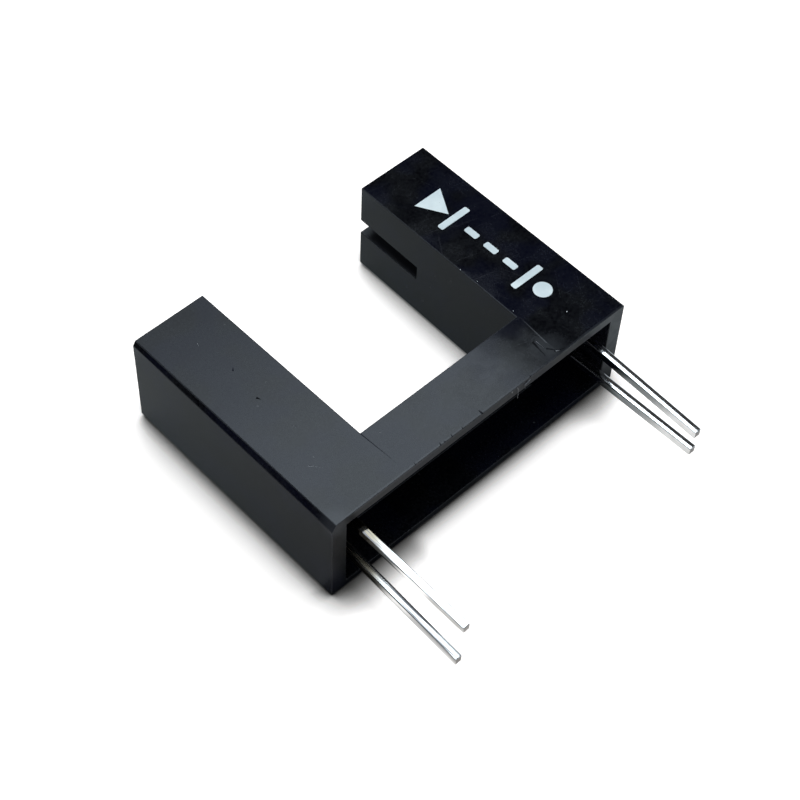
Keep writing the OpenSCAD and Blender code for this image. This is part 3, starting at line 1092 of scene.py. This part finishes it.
def grow_whisker(points):
    run = points[1] - points[0]
    bpy.ops.object.select_all(action="DESELECT")
    bpy.ops.mesh.primitive_circle_add(
        vertices=WHISKER_CORNERS, radius=WHISKER_RADIUS, fill_type="NGON", location=points[0],
        rotation=run.to_track_quat("Z", "Y").to_euler(),
    )
    bpy.ops.object.transform_apply(location=True, rotation=True)
    bpy.ops.object.mode_set(mode="EDIT")
    for here, there in zip(points, points[1:]):
        bpy.ops.mesh.extrude_region_move(TRANSFORM_OT_translate={"value": there - here})
        bpy.ops.transform.resize(value=(WHISKER_TAPER,) * 3, center_override=there)
    bpy.ops.mesh.select_all(action="SELECT")
    bpy.ops.mesh.normals_make_consistent(inside=False)
    bpy.ops.object.mode_set(mode="OBJECT")
    bpy.ops.object.shade_smooth_by_angle(angle=SMOOTH)
    return bpy.context.object


def lie_down(x, y):
    """A place for a whisker on the upper face, no higher than the part itself."""
    place = upper_face(x * MM, y * MM)
    place.z = min(place.z - TORN_SINK, shell_high.z - WHISKER_RADIUS)
    return place


routes = [[Vector(point) * MM for point in route] for route in EDGE_WHISKERS]
routes += [[lie_down(x, y) for x, y in route] for route in TORN_WHISKERS]
whiskers = [grow_whisker(route) for route in routes]
bpy.ops.object.select_all(action="DESELECT")
for whisker in whiskers:
    whisker.select_set(True)
bpy.ops.object.join()
whisker = bpy.context.object
whisker.name = "flash_whiskers"
whisker.data.name = "flash_whiskers"
whisker.data.materials.append(pale_flash)
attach(whisker, "root")
print("whiskers:", len(routes), "faces:", len(whisker.data.polygons))

# %% [markdown]
# ## The printed mark
#
# The flat of the sensor arm carries a small white print. Here it is a plain beam mark: a light
# source drawn as a triangle against a bar, dashes for the beam, and a slit with a dot behind it.
# Each shape is a flat sheet laid on the face, and a thin solid coat of ink is grown from it. Four
# specks of ink that missed their place are laid out in the same way.

# %% White ink
INK_WHITE = (0.80, 0.84, 0.80, 1)
INK_THIN = (0.62, 0.67, 0.66, 1)
INK_ROUGHNESS = (0.42, 0.6)
INK_RISE = 0.0012 * MM

white_ink, tree, shader, place = start_finish("white_ink")
grain = use(tree, moulded_grain, place, fineness=11000.0)
pinhole = use(tree, dust, place, fineness=9000.0, rarity=0.90)["Mask"]
colour = mix_colours(tree, grain["Mottle"], INK_WHITE, INK_THIN)
feed(tree, shader, {
    "Base Color": paint(tree, colour, [(pinhole, 0.7, SCUFF_AND_HIGHLIGHT_GREY)]),
    "Roughness": remap(tree, grain["Grain"], *GRAIN_RANGE, *INK_ROUGHNESS),
    "Normal": bump(tree, grain["Grain"], INK_RISE),
})
print("finish:", white_ink.name)

# %% Lay out the mark
PRINT_X = 7.03 * MM
STROKE = 0.36 * MM
MARK_TALL = 1.9 * MM
CORNER_ROUND = 0.09 * MM
CORNER_STEPS = 4
FLAT_HEIGHT = shell_high.z + 1 * MM
ARROW_Y = 7.15 * MM
ARROW_SIZE = 2.0 * MM
SOURCE_BAR_Y = 5.80 * MM
DASHES = [4.55 * MM, 3.25 * MM, 1.95 * MM]
DASH_LENGTH = 0.8 * MM
SLIT_BAR_Y = 0.85 * MM
DOT_Y = -0.20 * MM
DOT_SIZE = 0.95 * MM
DOT_CORNERS = 40
shapes = []


def keep_shape():
    bpy.ops.object.transform_apply(location=True, rotation=True, scale=True)
    shapes.append(bpy.context.object)


def ink_bar(x, y, across, along):
    bpy.ops.object.select_all(action="DESELECT")
    bpy.ops.mesh.primitive_plane_add(size=1, location=(x, y, FLAT_HEIGHT))
    bpy.context.object.scale = (across, along, 1)
    keep_shape()
    bpy.ops.object.mode_set(mode="EDIT")
    bpy.ops.mesh.bevel(offset=CORNER_ROUND, segments=CORNER_STEPS, affect="VERTICES")
    bpy.ops.object.mode_set(mode="OBJECT")


def ink_disc(x, y, diameter, corners, turn=0.0):
    bpy.ops.object.select_all(action="DESELECT")
    bpy.ops.mesh.primitive_circle_add(
        vertices=corners, radius=diameter / 2, fill_type="NGON",
        location=(x, y, FLAT_HEIGHT), rotation=(0, 0, turn),
    )
    keep_shape()


ink_disc(PRINT_X, ARROW_Y, ARROW_SIZE, 3, radians(180))
ink_bar(PRINT_X, SOURCE_BAR_Y, MARK_TALL, STROKE)
for y in DASHES:
    ink_bar(PRINT_X, y, STROKE, DASH_LENGTH)
ink_bar(PRINT_X, SLIT_BAR_Y, MARK_TALL, STROKE)
ink_disc(PRINT_X, DOT_Y, DOT_SIZE, DOT_CORNERS)
print("shapes laid out:", len(shapes))

# %% Turn the shapes into a coat of ink
INK_COAT = 0.012 * MM
SPATTER = [(6.91, -1.89, 0.045), (4.99, 3.26, 0.04), (5.09, 2.23, 0.035), (5.07, -0.19, 0.035)]
SPATTER_CORNERS = 12

for x, y, diameter in SPATTER:
    ink_disc(x * MM, y * MM, diameter * MM, SPATTER_CORNERS)
bpy.ops.object.select_all(action="DESELECT")
for flat in shapes:
    flat.select_set(True)
bpy.context.view_layer.objects.active = shapes[0]
bpy.ops.object.join()
mark = bpy.context.object
mark.name = "beam_mark"
mark.data.name = "beam_mark"
for corner in mark.data.vertices:
    corner.co.z = upper_face(corner.co.x, corner.co.y).z
apply_modifier(mark, "SOLIDIFY", thickness=INK_COAT, offset=1)
mark.data.materials.append(white_ink)
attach(mark, "root")
print("ink faces:", len(mark.data.polygons))

# %% [markdown]
# ## Sizes
#
# The dressed part must not outgrow its solids, so its box is written down.

# %% Write the dressed part's box
low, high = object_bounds()
print("visual box in mm:", [round(side / MM, 3) for side in high - low])
